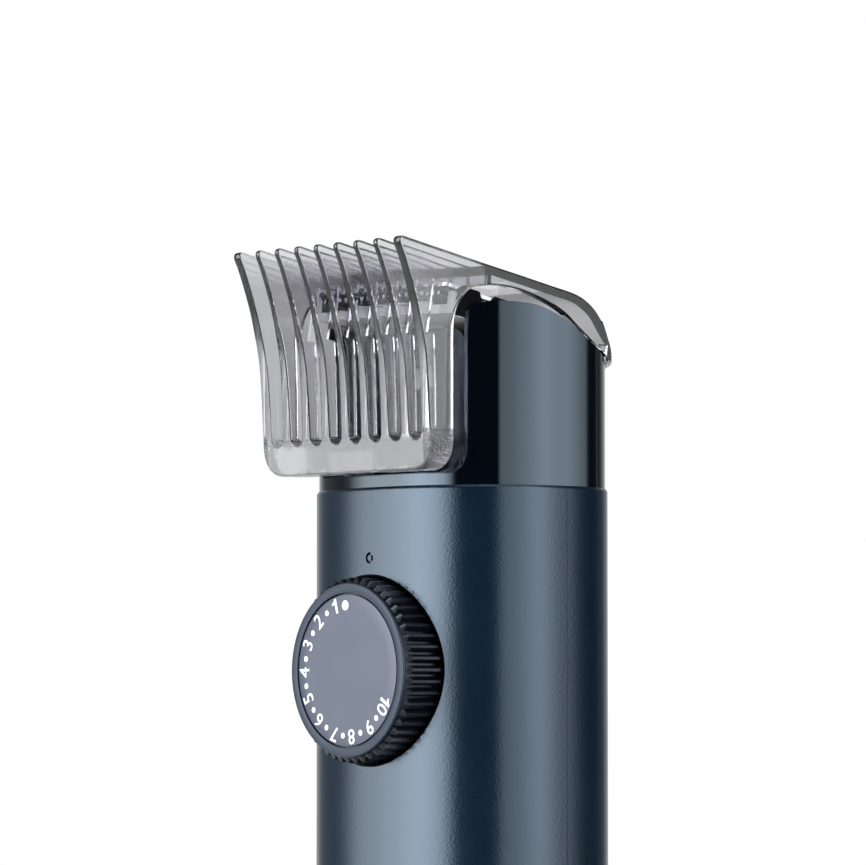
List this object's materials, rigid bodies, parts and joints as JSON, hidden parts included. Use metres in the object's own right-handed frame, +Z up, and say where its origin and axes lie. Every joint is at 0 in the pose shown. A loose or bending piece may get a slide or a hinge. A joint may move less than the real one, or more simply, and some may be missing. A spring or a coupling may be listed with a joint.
{
  "type": "hair clipper",
  "caption": "Cordless hair clipper with an oval grip, a numbered dial on the front and a clear guide comb that the dial raises over the blades.",
  "frame": {"origin": "centre of the flat base, on the axis of the oval grip", "axes": "+Z up along the grip towards the blades, -Y the front with the dial, the button and the comb's face, +X the side to the right when the front is seen"},
  "size_m": [0.04, 0.0411, 0.1608],
  "materials": {
    "shell": "satin moulded plastic with a fine grain, navy blue",
    "head_gloss": "polished dark navy plastic",
    "dark_plastic": "black knurled plastic",
    "dial_face": "fine matte grey with a mauve cast, white numerals",
    "comb_clear": "clear smoke-grey plastic",
    "steel": "ground steel",
    "black_plastic": "black moulded plastic",
    "acetal": "natural acetal",
    "motor_steel": "plated steel can",
    "board": "green solder mask",
    "cell_wrap": "green shrink wrap",
    "nickel": "nickel strip",
    "light_pipe": "frosted clear plastic"
  },
  "bodies": {
    "body": {"front_shell": "shell", "rear_shell": "shell", "base_cap": "shell", "head_housing": "head_gloss", "head_front_panel": "head_gloss", "chassis": "black_plastic", "chassis_screw_left": "steel", "chassis_screw_right": "steel", "battery_cell": "cell_wrap", "battery_tab_top": "nickel", "battery_tab_bottom": "nickel", "circuit_board": "board", "tact_switch": "dark_plastic", "status_light": "light_pipe", "charging_board": "board", "charging_socket": "steel", "motor_can": "motor_steel", "motor_end_cap": "black_plastic", "motor_bracket": "black_plastic", "blade_holder": "black_plastic", "fixed_blade": "steel", "blade_spring": "steel", "blade_screw_left": "steel", "blade_screw_right": "steel", "detent_spring": "steel"},
    "dial": {"dial_knob": "dark_plastic", "dial_cap": "dial_face", "dial_pinion": "acetal", "dial_screw": "steel"},
    "carriage": {"comb_carriage": "black_plastic"},
    "comb": {"guide_comb": "comb_clear"},
    "blade_drive": {"moving_blade": "steel", "blade_driver": "acetal"},
    "rotor": {"motor_shaft": "steel", "eccentric": "acetal"},
    "button": {"power_button": "shell"}
  },
  "joints": [
    {"name": "dial_turn", "type": "hinge", "parent": "body", "child": "dial", "pos_m": [0, -0.0195, 0.10635], "axis": [0, 1, 0], "range_deg": [0, 239]},
    {"name": "comb_lift", "type": "slide", "parent": "body", "child": "carriage", "axis": [0, 0, 1], "range_m": [0, 0.01]},
    {"name": "comb_pull_off", "type": "slide", "parent": "carriage", "child": "comb", "axis": [0, 0, 1], "range_m": [0, 0.03]},
    {"name": "blade_stroke", "type": "slide", "parent": "body", "child": "blade_drive", "axis": [1, 0, 0], "range_m": [-0.0009, 0.0009]},
    {"name": "motor_spin", "type": "hinge", "parent": "body", "child": "rotor", "pos_m": [0, 0.003, 0.12], "axis": [0, 0, 1], "continuous": true},
    {"name": "power_press", "type": "slide", "parent": "body", "child": "button", "axis": [0, 1, 0], "range_m": [0, 0.0008], "stiffness_N_per_m": 600, "springref_m": -0.0008}
  ],
  "couplings": [
    {"joint": "dial_turn", "follows": "comb_lift", "rad_per_m": 416.67}
  ]
}
